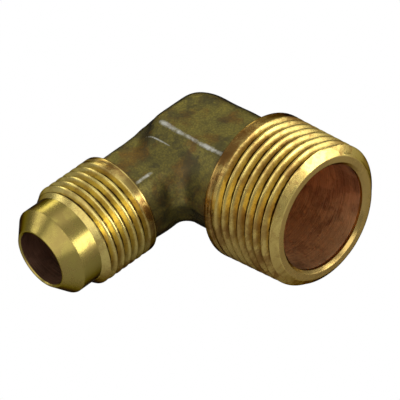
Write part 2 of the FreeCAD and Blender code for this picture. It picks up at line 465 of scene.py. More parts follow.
@dataclass(frozen=True)
class Forging:
    """The forged body, heel and neck as one signed distance.

    A field that ends in run holds the two places between which a change starts and is complete.
    """

    sizes: Interfaces
    body: DraftedSide
    heel: DraftedSide
    neck: DraftedSide
    top_corner_round: float = 2.1
    side_corner_round: float = 3.4
    neck_side_corners: Pair = (0.6, 1.25)
    corner_side_run: Pair = (-3.0, 3.0)
    corner_height_margin: Pair = (0.2, 0.6)
    flat_round: float = 0.5
    flat_rise: float = 0.35
    flat_rise_run: Pair = (12.0, -6.0)
    neck_round: float = 0.8
    neck_sag: float = 0.9
    inner_blend: float = 2.8
    top_blend: float = 4.4
    top_blend_run: Pair = (3.5, 6.5)
    under_blend: float = 2.0
    under_blend_run: Pair = (-1.0, -4.0)
    outer_blend: float = 0.8
    outer_blend_run: Pair = (-4.5, 0.5)
    pipe_shoulder: float = 1.5
    flare_shoulder: float = 0.55
    band_half: float = 0.65
    band_height: float = 0.1
    band_fade: float = 0.35
    waviness: float = 0.05
    crease_height: float = 0.06
    crease_place: float = 8.1
    crease_width: float = 0.2
    crease_start_run: Pair = (-3.0, -1.6)
    crease_end_run: Pair = (5.2, 3.8)
    crease_top_run: Pair = (5.0, 6.0)
    # Painted highlight along the crease
    crease_highlight: float = 0.8
    # Where the edges are painted bright: rubbed metal, and painted highlights on the edges that face the
    # lights
    rub_and_highlight_width: float = 0.37
    rub_and_highlight_side_run: Pair = (0.0, -3.0)
    rub_and_highlight_heel_run: Pair = (-3.2, -1.8)
    heel_rub_and_highlight: float = 0.45
    heel_rub_and_highlight_run: Pair = (0.5, -1.5)
    neck_rub_and_highlight: float = 1.3
    neck_rub_and_highlight_run: Pair = (-12.6, -13.8)
    # Darkening behind the collars: forging scale with painted shade in the step
    pipe_scale_and_shade_run: Pair = (3.2, 0.2)
    flare_scale_and_shade_run: Pair = (2.0, 0.2)
    flare_scale_and_shade: float = 0.7

    def wave(self, point: np.ndarray) -> np.ndarray:
        """Unevenness of the forged skin.

        Formula: three crossed sine waves of different lengths, each weaker than the one before.

        Args:
            point: Points, with their last axis as X, Y and Z.

        Returns:
            How far the skin stands out at each point.
        """
        x, y, z = np.moveaxis(point, -1, 0)
        first = np.sin(0.83 * x + 0.41 * y + 0.6) * np.sin(0.57 * y - 0.71 * z)
        second = np.sin(0.35 * x - 0.62 * y + 0.48 * z + 1.9)
        third = np.sin(1.31 * z + 0.9 * x + 2.2) * np.sin(1.17 * y + 0.4)
        return self.waviness * (first + 0.8 * second + 0.5 * third)

    def flat_at(self, x: np.ndarray) -> np.ndarray:
        """Height of the flats, which rise a little towards the heel."""
        return self.body.flat_height + self.flat_rise * smooth_step(*self.flat_rise_run, x)

    def body_distance(self, point: np.ndarray) -> np.ndarray:
        """Signed distance to the body.

        Formula: its sides, heel and flats meet with rounded edges. The corner between side and heel
        is tighter near the flats, and on the neck's side.

        Args:
            point: Points.

        Returns:
            Signed distance, negative inside.
        """
        x, y, z = np.moveaxis(point, -1, 0)
        top, bottom = self.corner_height_margin
        low = smooth_step(self.body.flat_height + top, self.neck.flat_height + bottom, np.abs(z))
        far = smooth_step(*self.corner_side_run, y)
        near_top, near_side = self.neck_side_corners
        tight = self.top_corner_round * (near_top + (1 - near_top) * far)
        wide = self.side_corner_round * (near_side + (1 - near_side) * far)
        corner = tight + (wide - tight) * low
        sides = round_meet(self.body.distance(np.abs(y), z), self.heel.distance(-x, z), corner)
        return round_meet(sides, np.abs(z) - self.flat_at(x), self.flat_round)

    def neck_distance(self, point: np.ndarray) -> np.ndarray:
        """Signed distance to the neck.

        Formula: its sides and flats meet with a rounded edge, and heights below the parting plane
        are shrunk, which makes the lower half a little deeper than the upper one.

        Args:
            point: Points.

        Returns:
            Signed distance, negative inside.
        """
        x, y, z = np.moveaxis(point, -1, 0)
        height = np.where(z < 0, z * self.neck_sag, z)
        bar = round_meet(self.neck.distance(np.abs(x), height), np.abs(height) - self.neck.flat_height,
                         self.neck_round)
        return np.maximum(bar, y + self.body.flat_edge)

    def blend_radius(self, point: np.ndarray) -> np.ndarray:
        """Radius of the fillet between body and neck: large on the flats, small on the outer side.

        Args:
            point: Points.

        Returns:
            The radius at each point.
        """
        x, _, z = np.moveaxis(point, -1, 0)
        wide = self.inner_blend + (self.top_blend - self.inner_blend) * smooth_step(*self.top_blend_run, z)
        wide = wide + (self.under_blend - self.inner_blend) * smooth_step(*self.under_blend_run, z)
        return self.outer_blend + (wide - self.outer_blend) * smooth_step(*self.outer_blend_run, x)

    def crease_mask(self, point: np.ndarray) -> np.ndarray:
        """Where the fillet over the neck leaves the body, as a straight line along X.

        Formula: a bell curve across the line, held between its ends and above a height.

        Args:
            point: Points.

        Returns:
            1 on the line, falling to 0 beside it.
        """
        x, y, z = np.moveaxis(point, -1, 0)
        here = (smooth_step(*self.crease_start_run, x) * smooth_step(*self.crease_end_run, x)
                * smooth_step(*self.crease_top_run, z))
        return np.exp(-((y + self.crease_place) / self.crease_width) ** 2) * here

    def scale_and_shade_mask(self, point: np.ndarray) -> np.ndarray:
        """How near a point is to the back of a collar, where forging scale collects and shade is painted in
        the step.

        Args:
            point: Points.

        Returns:
            1 at the back of the pipe collar, falling away from both collars.
        """
        x, y, _ = np.moveaxis(point, -1, 0)
        pipe = smooth_step(*self.pipe_scale_and_shade_run, pipe_collar_back(self.sizes) - x)
        flare = smooth_step(*self.flare_scale_and_shade_run, flare_collar_back(self.sizes) + y)
        return np.maximum(pipe, self.flare_scale_and_shade * flare)

    def distance(self, point: np.ndarray) -> np.ndarray:
        """Signed distance to the forging and the backs of both collars.

        Formula: the neck is joined to the body with a fillet, a low band runs along the parting
        plane, the unevenness and the crease are added, and the collars are joined on.

        Args:
            point: Points.

        Returns:
            Signed distance, negative inside.
        """
        height = np.abs(point[..., 2])
        forging = round_join(self.body_distance(point), self.neck_distance(point), self.blend_radius(point))
        band = self.band_height * (1 - smooth_step(self.band_half, self.band_half + self.band_fade, height))
        forging = forging - band - self.wave(point) - self.crease_height * self.crease_mask(point)
        return self.with_collars(forging, point)

    def with_collars(self, forging: np.ndarray, point: np.ndarray) -> np.ndarray:
        """Joins the backs of the two turned collars on with their shoulder fillets.

        Args:
            forging: Signed distance to the forging.
            point: The points that it was taken at.

        Returns:
            Signed distance to the forging and collars.
        """
        x, y, z = np.moveaxis(point, -1, 0)
        pipe_back = pipe_collar_back(self.sizes)
        flare_back = flare_collar_back(self.sizes)
        pipe = np.maximum(pipe_back - x, np.hypot(y, z) - self.sizes.pipe_thread)
        flare = np.maximum(flare_back + y, np.hypot(x, z) - self.sizes.flare_thread)
        forging = round_join(forging, pipe, self.pipe_shoulder)
        return round_join(forging, flare, self.flare_shoulder)

    def wear_and_highlight_mask(self, point: np.ndarray) -> np.ndarray:
        """How near a point is to an edge that is painted bright: rubbed metal, and a painted highlight where
        the edge faces the lights.

        Formula: a bell curve of the distances to the side and to the flat, for the body and for the
        neck, each kept to its own stretch, and the crease. The stretches are the edges that face the
        lights, so the mask paints their highlights as well as their rubbing.

        Args:
            point: Points.

        Returns:
            1 on an edge, falling to 0 beside it.
        """
        x, y, z = np.moveaxis(point, -1, 0)
        side, top = self.body.distance(np.abs(y), z), np.abs(z) - self.flat_at(x)
        bar, roof = self.neck.distance(np.abs(x), z), np.abs(z) - self.neck.flat_height
        shown = smooth_step(*self.rub_and_highlight_side_run, y) * smooth_step(*self.rub_and_highlight_heel_run, x)
        shown = shown * (1 + self.heel_rub_and_highlight * smooth_step(*self.heel_rub_and_highlight_run, x))
        body = np.exp(-(side ** 2 + top ** 2) / self.rub_and_highlight_width ** 2) * shown
        neck = np.exp(-(bar ** 2 + roof ** 2) / self.rub_and_highlight_width ** 2) * smooth_step(*self.neck_rub_and_highlight_run, y)
        # The crease gets a painted highlight
        crease = self.crease_highlight * self.crease_mask(point)
        return np.minimum(np.maximum(np.maximum(body, self.neck_rub_and_highlight * neck), crease), 1.0)


def flare_seat_back(sizes: Interfaces) -> float:
    """Distance from the crossing to where the 45 degree seat meets the straight nose."""
    return sizes.flare_reach - (sizes.flare_nose - sizes.flare_bore - FLARE_LIP)


def flare_collar_back(sizes: Interfaces) -> float:
    """Distance from the crossing to the back of the flare end's collar."""
    return flare_seat_back(sizes) - sizes.flare_nose_length - FLARE_LEAD_IN - sizes.flare_collar


def pipe_collar_back(sizes: Interfaces) -> float:
    """Distance from the crossing to the back of the pipe end's collar."""
    return sizes.pipe_reach - sizes.pipe_collar


# ---------------------------------------------------------------------------------------------
# Turned ends
# ---------------------------------------------------------------------------------------------

@dataclass(frozen=True)
class ThreadForm:
    """Right-hand V thread whose last groove fades out over part of a turn.

    Along the path through the elbow the centre of each groove moves on by one pitch a turn. way is 1
    where the path leads away from the crossing and -1 where it leads towards it.
    """

    pitch: float
    depth: float
    root_flat: float
    join: float
    join_turn: float
    way: int
    flank: float = 30.0
    run_out: float = 0.5
    overcut: float = 0.12
    crest_break: float = 0.045
    flank_shares: tuple[float, ...] = (0.0, 0.35, 0.7)
    edge_gap: float = 0.001

    def offsets(self) -> np.ndarray:
        """Places of the rings across one groove.

        Formula: the root's edge, shares of the flank, both sides of the crest's edge, and the same
        mirrored.

        Returns:
            Distances from the groove's middle, in order.
        """
        half_root = self.root_flat / 2
        half_crest = half_root + self.depth * math.tan(math.radians(self.flank))
        flank = half_root + (half_crest - half_root) * np.array(self.flank_shares)
        half = np.concatenate([flank, [half_crest - self.crest_break, half_crest + self.crest_break]])
        return np.concatenate([-half[::-1], half])

    def depth_at(self, offset: np.ndarray, climb: np.ndarray) -> np.ndarray:
        """Depth below the crest: the full depth, less the flank's rise past the root flat and the climb."""
        rise = np.maximum(np.abs(offset) - self.root_flat / 2, 0) / math.tan(math.radians(self.flank))
        return self.depth - rise - climb

    def rings(self, start: float, end: float, columns: int) -> tuple[np.ndarray, ...]:
        """Rings of the thread along a stretch of the path.

        Formula: path place = groove origin + pitch * (groove number + column share) + offset.

        Args:
            start: Where the stretch starts on the path.
            end: Where it ends.
            columns: Points round a ring.

        Returns:
            The path place, the depth below the crest, and the masks of points before the start and
            past the end, each rings by columns.
        """
        offsets = self.offsets()
        origin = self.way * self.join - self.pitch * self.join_turn
        first = math.floor((start - origin - offsets[-1]) / self.pitch) - 1
        last = math.ceil((end - origin - offsets[0]) / self.pitch)
        number = np.repeat(np.arange(first, last + 1), len(offsets))[:, None]
        offset = np.tile(offsets, last + 1 - first)[:, None]
        share = np.arange(columns)[None, :] / columns
        centre = origin + self.pitch * (number + share)
        place = centre + offset
        faded = np.clip((self.join - self.way * centre) / (self.run_out * self.pitch), 0, 2)
        depth = self.depth_at(offset, faded * (self.depth + self.overcut))
        below, above = place <= start + self.edge_gap, place >= end - self.edge_gap
        return np.clip(place, start, end), np.maximum(depth, 0), below, above


@dataclass(frozen=True)
class FlareEnd:
    """Turned flare end: seat, nose, straight thread and collar."""

    sizes: Interfaces
    fan: SectionFan
    pitch: float = 25.4 / 16
    thread_depth: float = 0.974
    root_flat: float = 0.2
    run_out_angle: float = 304.0
    rim_round: float = 0.3
    land: float = 0.35

    def rings_at(self, outline: np.ndarray, columns: int) -> np.ndarray:
        """Plain rings at (distance, radius) points of an outline."""
        radius = np.broadcast_to(outline[:, 1:], (len(outline), columns))
        return place_rings(self.fan.along_flare(outline[:, 0]), radius)

    def nose_outline(self) -> np.ndarray:
        """Outline from the lip over the seat and along the nose to the start of the thread.

        Returns:
            Array of (distance, radius) points.
        """
        seat = flare_seat_back(self.sizes)
        corners = [
            (self.sizes.flare_reach - LIP_BREAK, self.sizes.flare_bore),
            (self.sizes.flare_reach, self.sizes.flare_bore + LIP_BREAK),
            (self.sizes.flare_reach, self.sizes.flare_bore + FLARE_LIP),
            (seat, self.sizes.flare_nose),
            (seat - self.sizes.flare_nose_length, self.sizes.flare_nose),
        ]
        return rounded_outline(corners, 0.08, 4, 0.55)

    def thread(self) -> ThreadForm:
        """Straight thread, which fades out towards the collar's land."""
        join = flare_collar_back(self.sizes) + FLARE_LAND + 0.5 * self.pitch
        return ThreadForm(self.pitch, self.thread_depth, self.root_flat, join,
                          self.run_out_angle / 360, -1)

    def blank(self, distance: np.ndarray) -> np.ndarray:
        """Radius of the straight thread's blank, the same at every distance."""
        return np.full_like(distance, self.sizes.flare_thread)

    def crest(self, distance: np.ndarray) -> np.ndarray:
        """Radius of the thread's crest, cut down by the lead-in chamfer at the front.

        Args:
            distance: Distances from the crossing.

        Returns:
            The radii.
        """
        nose_back = flare_seat_back(self.sizes) - self.sizes.flare_nose_length
        share = np.clip((distance - nose_back + FLARE_LEAD_IN) / FLARE_LEAD_IN, 0, 1)
        return self.sizes.flare_thread + (self.sizes.flare_nose - self.sizes.flare_thread) * share

    def add_to(self, skin: RingSkin) -> None:
        """Adds the seat, the nose, the thread and the back of the collar.

        Args:
            skin: Skin to add to.
        """
        skin.add_rings(self.rings_at(self.nose_outline(), skin.columns), Zone.FLARE_NOSE)
        back = flare_collar_back(self.sizes)
        nose_back = flare_seat_back(self.sizes) - self.sizes.flare_nose_length
        add_thread(skin, self.thread(), -nose_back, -(back + self.land), self.fan.along_flare,
                   self.blank, self.crest, Zone.FLARE_THREAD)
        radius = self.sizes.flare_thread
        corners = [(back + self.land, radius), (back, radius), (back, radius - 2 * self.rim_round)]
        rim = rounded_outline(corners, 0.6 * self.rim_round, 4, 0.25)
        # The back of the collar takes forging scale with painted shade in full
        skin.add_rings(self.rings_at(rim[1:], skin.columns), Zone.FLARE_THREAD, soot=np.ones((1, 1)))

    def bore_outline(self, start: float) -> np.ndarray:
        """Outline of the bore from a distance out to the lip."""
        corners = [
            (start, self.sizes.flare_bore),
            (self.sizes.flare_reach - LIP_BREAK - 0.05, self.sizes.flare_bore),
        ]
        return rounded_outline(corners, 0.05, 3, 2.0)


@dataclass(frozen=True)
class PipeEnd:
    """Turned pipe end: collar, taper thread, end face and bore mouth."""

    sizes: Interfaces
    fan: SectionFan
    pitch: float = 25.4 / 14
    thread_depth: float = 1.25
    root_flat: float = 0.1
    run_out_angle: float = 273.0
    rim_round: float = 0.35
    land: float = 0.6
    bore_depth: float = 14.8

    def rings_at(self, outline: np.ndarray, columns: int) -> np.ndarray:
        """Plain rings at (distance, radius) points of an outline."""
        radius = np.broadcast_to(outline[:, 1:], (len(outline), columns))
        return place_rings(self.fan.along_pipe(outline[:, 0]), radius)

    def taper(self, distance: np.ndarray) -> np.ndarray:
        """Radius of the taper at a distance, before the lead-in chamfer."""
        return self.sizes.pipe_thread + PIPE_TAPER * (self.sizes.pipe_reach - PIPE_LEAD_IN - distance)

    def crest(self, distance: np.ndarray) -> np.ndarray:
        """Radius of the thread's crest, cut down by the lead-in chamfer at the front."""
        share = np.clip((distance - self.sizes.pipe_reach + PIPE_LEAD_IN) / PIPE_LEAD_IN, 0, 1)
        return self.taper(distance) + (PIPE_FACE_RADIUS - self.sizes.pipe_thread) * share

    def thread(self) -> ThreadForm:
        """Taper thread, which fades out towards the collar's land."""
        join = pipe_collar_back(self.sizes) + PIPE_LAND + 0.5 * self.pitch
        return ThreadForm(self.pitch, self.thread_depth, self.root_flat, join,
                          self.run_out_angle / 360, 1)

    def add_to(self, skin: RingSkin) -> None:
        """Adds the back of the collar, the thread and the end face.

        Args:
            skin: Skin to add to.
        """
        back = pipe_collar_back(self.sizes)
        radius = float(self.taper(np.array(back)))
        corners = [(back, radius - 2 * self.rim_round), (back, radius), (back + self.land, radius)]
        rim = rounded_outline(corners, 0.6 * self.rim_round, 4, 0.25)
        # The back of the collar takes forging scale with painted shade in full
        skin.add_rings(self.rings_at(rim, skin.columns), Zone.PIPE_THREAD, soot=np.ones((1, 1)))
        add_thread(skin, self.thread(), back + self.land, self.sizes.pipe_reach, self.fan.along_pipe,
                   self.taper, self.crest, Zone.PIPE_THREAD)
        face = self.face_outline()
        skin.add_rings(self.rings_at(face[1:], skin.columns), Zone.PIPE_FACE)

    def face_outline(self) -> np.ndarray:
        """Outline across the end face and down the mouth chamfer.

        Returns:
            Array of (distance, radius) points.
        """
        reach, bore = self.sizes.pipe_reach, self.sizes.pipe_bore
        corners = [
            (reach, PIPE_FACE_RADIUS),
            (reach, bore + PIPE_MOUTH_CHAMFER),
            (reach - PIPE_MOUTH_CHAMFER, bore),
            (reach - 2 * PIPE_MOUTH_CHAMFER, bore),
        ]
        return rounded_outline(corners, 0.06, 3, 0.3)

    def bore_outline(self, end: float) -> np.ndarray:
        """Outline of the bore from its mouth past the drill's shoulder.

        Args:
            end: Distance from the crossing where the outline ends.

        Returns:
            Array of (distance, radius) points.
        """
        bore, waterway = self.sizes.pipe_bore, self.sizes.waterway
        bottom = self.sizes.pipe_reach - self.bore_depth
        shoulder = bottom - (bore - waterway) / math.tan(math.radians(DRILL_HALF_ANGLE))
        corners = [
            (self.sizes.pipe_reach - 2 * PIPE_MOUTH_CHAMFER, bore),
            (bottom, bore),
            (shoulder, waterway),
            (end, waterway),
        ]
        return rounded_outline(corners, 0.1, 3, 1.6)


def add_thread(skin: RingSkin, form: ThreadForm, start: float, end: float,
               planes: Callable[[np.ndarray], Planes], blank: Measure, crest: Measure, zone: Zone) -> None:
    """Adds a threaded stretch to the skin, from its last ring to a new plain ring.

    Formula: radius = the smaller of the chamfered crest and the blank less the groove's depth.

    Args:
        skin: Skin to add to. Its last ring must lie at the start of the stretch.
        form: The thread.
        start: Where the stretch starts on the path.
        end: Where it ends.
        planes: Function from distances to section planes.
        blank: Function from distances to the radius before chamfer and grooves.
        crest: Function from distances to the crest's radius, chamfer included.
        zone: Finish of the faces.
    """
    place, depth, below, above = form.rings(start, end, skin.columns)
    distance = form.way * place
    outer = crest(distance)
    radius = np.minimum(outer, blank(distance) - depth)
    groove = np.clip((outer - radius) / form.depth, 0, 1)
    centre, outward = planes(distance.reshape(-1))
    shape = distance.shape
    angle = column_angles(skin.columns)[None, :, None]
    centre, outward = centre.reshape(*shape, 3), outward.reshape(*shape, 3)
    ray = outward * np.cos(angle) + UP * np.sin(angle)
    last = np.array([form.way * end])
    end_ring = place_rings(planes(last), np.broadcast_to(crest(last)[:, None], (1, skin.columns)))[0]
    # Forging scale with painted shade behind the collar
    soot = smooth_step(SCALE_AND_SHADE_REACH, 0.0, distance - min(form.way * start, form.way * end))
    # Painted shade on the lower side of the thread
    soot = np.maximum(soot, UNDERSIDE_SHADE_SHARE * smooth_step(*UNDERSIDE_SHADE_SPREAD, ray @ np.array(UNDERSIDE_SHADE)))
    skin.add_helix(centre + ray * radius[..., None], below, above, len(form.offsets()), end_ring, zone,
                   groove=groove, soot=soot)


@dataclass(frozen=True)
class Waterway:
    """Where the two bores meet inside the forging."""

    sizes: Interfaces
    fan: SectionFan
    back: float = 1.0
    meeting_round: float = 0.25
    planes: int = 36
    ray_reach: float = 20.0

    def distance(self, point: np.ndarray) -> np.ndarray:
        """Signed distance to the hollow.

        Formula: a cylinder along X that ends in a drill's cone, joined to a cylinder along -Y.

        Args:
            point: Points.

        Returns:
            Signed distance, negative inside the hollow.
        """
        x, y, z = np.moveaxis(point, -1, 0)
        angle = math.radians(DRILL_HALF_ANGLE)
        radius = np.hypot(y, z) - self.sizes.waterway
        cone = radius * math.cos(angle) - (x + self.back) * math.sin(angle)
        wide = np.maximum(radius, cone)
        narrow = np.maximum(np.hypot(x, z) - self.sizes.flare_bore, y)
        return round_join(wide, narrow, self.meeting_round)

    def add_to(self, skin: RingSkin) -> None:
        """Adds the rings from the waterway round to the flare end's bore.

        Args:
            skin: Skin to add to.
        """
        angle = np.linspace(math.pi / 2, 0, self.planes + 2)[1:-1]
        rings = solve_rings(self.fan.round_corner(angle), skin.columns, self.distance, self.ray_reach)
        skin.add_rings(rings, Zone.PIPE_BORE)


# ---------------------------------------------------------------------------------------------
# Shader tools and shared effects
# ---------------------------------------------------------------------------------------------

class Socket(Enum):
    """Kind of a shared effect's socket."""

    FLOAT = "NodeSocketFloat"
    VECTOR = "NodeSocketVector"


class Axis(Enum):
    """Axis that a turned or drilled surface was cut about."""

    PIPE = (1.0, 0.0, 0.0)
    FLARE = (0.0, 1.0, 0.0)


@dataclass(frozen=True)
class Bench:
    """Places nodes in one tree and links their sockets."""

    tree: bpy.types.NodeTree

    def add(self, kind: str, inputs: dict[Any, Any] | None = None, **settings: Any) -> bpy.types.Node:
        """Adds a node.

        Args:
            kind: Node type.
            inputs: Sockets by name or number, each with a value or an output to link from.
            settings: Properties of the node.

        Returns:
            The node.
        """
        node = self.tree.nodes.new(kind)
        for name, value in settings.items():
            setattr(node, name, value)
        for name, value in (inputs or {}).items():
            self.feed(node.inputs[name], value)
        return node

    def feed(self, socket: bpy.types.NodeSocket, value: Any) -> None:
        """Links an output to a socket, or sets a plain value on it.

        Args:
            socket: Input to feed.
            value: Output or plain value. A colour of three numbers is made opaque.
        """
        if isinstance(value, bpy.types.NodeSocket):
            self.tree.links.new(value, socket)
        else:
            opaque = socket.type == "RGBA" and len(value) == 3
            socket.default_value = (*value, 1.0) if opaque else value

    def math(self, operation: str, *values: Any) -> bpy.types.NodeSocket:
        """Output of a Math node on one to three values."""
        return self.add("ShaderNodeMath", dict(enumerate(values)), operation=operation).outputs[0]

    def times(self, first: Any, second: Any) -> bpy.types.NodeSocket:
        """Product of two values."""
        return self.math("MULTIPLY", first, second)

    def plus(self, first: Any, second: Any) -> bpy.types.NodeSocket:
        """Sum of two values."""
        return self.math("ADD", first, second)

    def vector(self, operation: str, *values: Any) -> bpy.types.Node:
        """A Vector Math node on one or two vectors."""
        return self.add("ShaderNodeVectorMath", dict(enumerate(values)), operation=operation)

    def span(self, value: Any, low: Any, high: Any, bottom: float = 0.0,
             top: float = 1.0) -> bpy.types.NodeSocket:
        """Value mapped smoothly from one span to another and held at its ends."""
        inputs = {"Value": value, "From Min": low, "From Max": high, "To Min": bottom, "To Max": top}
        return self.add("ShaderNodeMapRange", inputs, interpolation_type="SMOOTHSTEP").outputs[0]

    def noise(self, vector: Any, scale: Any, detail: float, rough: float) -> bpy.types.NodeSocket:
        """Value of a noise texture."""
        inputs = {"Vector": vector, "Scale": scale, "Detail": detail, "Roughness": rough}
        return self.add("ShaderNodeTexNoise", inputs).outputs["Fac"]

    def mix(self, share: Any, first: Any, second: Any) -> bpy.types.NodeSocket:
        """Colour between two colours.

        Args:
            share: How much of the second colour shows.
            first: Colour at a share of 0.
            second: Colour at a share of 1.

        Returns:
            The mixed colour.
        """
        node = self.add("ShaderNodeMix", data_type="RGBA", blend_type="MIX")
        for number, value in ((0, share), (6, first), (7, second)):
            self.feed(node.inputs[number], value)
        return node.outputs[2]

    def attribute(self, name: str) -> bpy.types.NodeSocket:
        """Value of a mesh attribute."""
        return self.add("ShaderNodeAttribute", attribute_name=name).outputs["Fac"]

    def rim(self, strength: float) -> bpy.types.NodeSocket:
        """Share that grows where the surface turns away from the eye."""
        facing = self.add("ShaderNodeLayerWeight", {"Blend": 0.5}).outputs["Facing"]
        return self.span(facing, RIM_START, RIM_END, 0.0, strength)

    def place(self) -> bpy.types.NodeSocket:
        """Object coordinates, in metres."""
        return self.add("ShaderNodeTexCoord").outputs["Object"]

    def effect(self, group: bpy.types.NodeTree, inputs: dict[str, Any]) -> bpy.types.Node:
        """Places a shared effect.

        Args:
            group: The effect's node group.
            inputs: Its sockets by name, each with a value or an output to link from.

        Returns:
            The node.
        """
        node = self.tree.nodes.new("ShaderNodeGroup")
        node.node_tree = group
        for name, value in inputs.items():
            self.feed(node.inputs[name], value)
        return node


def start_effect(name: str, inputs: dict[str, Socket],
                 outputs: tuple[str, ...]) -> tuple[Bench, bpy.types.Node, bpy.types.Node]:
    """Makes a shared effect's node group with its named inputs and outputs.

    Args:
        name: Name of the group.
        inputs: Kind of each input by name.
        outputs: Names of the outputs, which are all values.

    Returns:
        The bench of the group's tree, its input node and its output node.
    """
    tree = bpy.data.node_groups.new(name, "ShaderNodeTree")
    for title, kind in inputs.items():
        tree.interface.new_socket(title, in_out="INPUT", socket_type=kind.value)
    for title in outputs:
        tree.interface.new_socket(title, in_out="OUTPUT", socket_type=Socket.FLOAT.value)
    bench = Bench(tree)
    return bench, bench.add("NodeGroupInput"), bench.add("NodeGroupOutput")


@cache
def turning_marks() -> bpy.types.NodeTree:
    """Fine grooves that a tool leaves round an axis.

    Formula: noise of the distance along the axis and the radius, each divided by the feed, with a
    little of the place round the axis, so that the marks run round it and waver.

    Returns:
        The group.
    """
    waver_rate, broad_rate = 260.0, 0.17
    bench, given, result = start_effect(
        "turning_marks",
        {"Place": Socket.VECTOR, "Axis": Socket.VECTOR, "Feed": Socket.FLOAT, "Waver": Socket.FLOAT},
        ("Height", "Tone"))
    place = given.outputs["Place"]
    along = bench.vector("DOT_PRODUCT", place, given.outputs["Axis"]).outputs["Value"]
    length = bench.vector("LENGTH", place).outputs["Value"]
    square = bench.math("SUBTRACT", bench.times(length, length), bench.times(along, along))
    radius = bench.math("SQRT", bench.math("MAXIMUM", square, 0.0))
    rate = bench.math("DIVIDE", 1.0, given.outputs["Feed"])
    waver = bench.times(bench.noise(place, waver_rate, 2.0, 0.5), given.outputs["Waver"])
    stations = bench.add("ShaderNodeCombineXYZ", {
        "X": bench.plus(bench.times(along, rate), waver),
        "Y": bench.plus(bench.times(radius, rate), waver),
    }).outputs[0]
    fine = bench.noise(stations, 1.0, 4.0, 0.7)
    broad = bench.noise(stations, broad_rate, 2.0, 0.5)
    bench.feed(result.inputs["Height"], fine)
    bench.feed(result.inputs["Tone"], bench.times(bench.plus(fine, broad), 0.5))
    return bench.tree


@cache
def mottle() -> bpy.types.NodeTree:
    """Uneven patches of oxide.

    Formula: a broad noise bent by a finer one, raised to a smooth mask between two levels.

    Returns:
        The group.
    """
    finer, bend_reach = 2.3, (0.004, 0.003, 0.005)
    bench, given, result = start_effect(
        "mottle",
        {"Place": Socket.VECTOR, "Size": Socket.FLOAT, "Level": Socket.FLOAT, "Softness": Socket.FLOAT},
        ("Mask",))
    place, level, softness = given.outputs["Place"], given.outputs["Level"], given.outputs["Softness"]
    rate = bench.math("DIVIDE", 1.0, given.outputs["Size"])
    bend = bench.noise(place, bench.times(rate, finer), 3.0, 0.6)
    bends = bench.add("ShaderNodeCombineXYZ", {"X": bend, "Y": bend, "Z": bend}).outputs[0]
    shift = bench.vector("MULTIPLY", bends, bend_reach).outputs[0]
    patches = bench.noise(bench.vector("ADD", place, shift).outputs[0], rate, 5.0, 0.62)
    low, high = bench.math("SUBTRACT", level, softness), bench.plus(level, softness)
    bench.feed(result.inputs["Mask"], bench.span(patches, low, high))
    return bench.tree


@cache
def edge_wear() -> bpy.types.NodeTree:
    """Bright metal where handling has rubbed an edge, together with the painted highlight along it.

    Formula: the edge attribute times the sum of a fine and a broad noise, raised to a smooth mask.

    Returns:
        The group.
    """
    speck_rate, speck_share, broad_rate, broad_share = 1700.0, 0.9, 330.0, 0.8
    bench, given, result = start_effect(
        "edge_wear", {"Place": Socket.VECTOR, "Edge": Socket.FLOAT, "Amount": Socket.FLOAT}, ("Mask",))
    specks = bench.noise(given.outputs["Place"], speck_rate, 3.0, 0.7)
    broad = bench.noise(given.outputs["Place"], broad_rate, 2.0, 0.5)
    broken = bench.plus(bench.times(specks, speck_share), bench.times(broad, broad_share))
    worn_and_highlight = bench.times(bench.times(given.outputs["Edge"], broken), given.outputs["Amount"])
    bench.feed(result.inputs["Mask"], bench.span(worn_and_highlight, 0.34, 0.86))
    return bench.tree


@cache
def forged_grain() -> bpy.types.NodeTree:
    """Grain that shot and die leave on a forged skin.

    Formula: two noises of different sizes, with shallow round pits cut where a cell pattern is low.

    Returns:
        The group.
    """
    coarse_rate, pit_rate, fine_share, pit_share = 0.22, 0.3, 0.45, 0.12
    bench, given, result = start_effect(
        "forged_grain", {"Place": Socket.VECTOR, "Size": Socket.FLOAT}, ("Height",))
    place = given.outputs["Place"]
    rate = bench.math("DIVIDE", 1.0, given.outputs["Size"])
    fine = bench.noise(place, rate, 3.0, 0.65)
    coarse = bench.noise(place, bench.times(rate, coarse_rate), 2.0, 0.5)
    cells = bench.add("ShaderNodeTexVoronoi", {"Vector": place, "Scale": bench.times(rate, pit_rate)})
    pits = bench.span(cells.outputs["Distance"], 0.12, 0.3)
    surface = bench.plus(bench.times(fine, fine_share), bench.times(coarse, 1 - fine_share))
    bench.feed(result.inputs["Height"], bench.plus(surface, bench.times(pits, pit_share)))
    return bench.tree


@dataclass(frozen=True)
class Patches:
    """Patches of a mottle: their size in metres, the level at which they start and how softly."""

    size: float
    level: float
    softness: float

    def mask(self, bench: Bench, place: bpy.types.NodeSocket) -> bpy.types.NodeSocket:
        """Mask of the patches."""
        values = {"Place": place, "Size": self.size, "Level": self.level, "Softness": self.softness}
        return bench.effect(mottle(), values).outputs["Mask"]


@dataclass(frozen=True)
class ToolMarks:
    """Marks of a tool: its feed in metres and how much they waver."""

    feed: float
    waver: float

    def cut(self, bench: Bench, place: bpy.types.NodeSocket, axis: Axis) -> bpy.types.Node:
        """The marks round an axis."""
        values = {"Place": place, "Axis": axis.value, "Feed": self.feed, "Waver": self.waver}
        return bench.effect(turning_marks(), values)


@dataclass(frozen=True)
class Relief:
    """Strength of a bump and the depth in metres of its full height."""

    strength: float
    depth: float


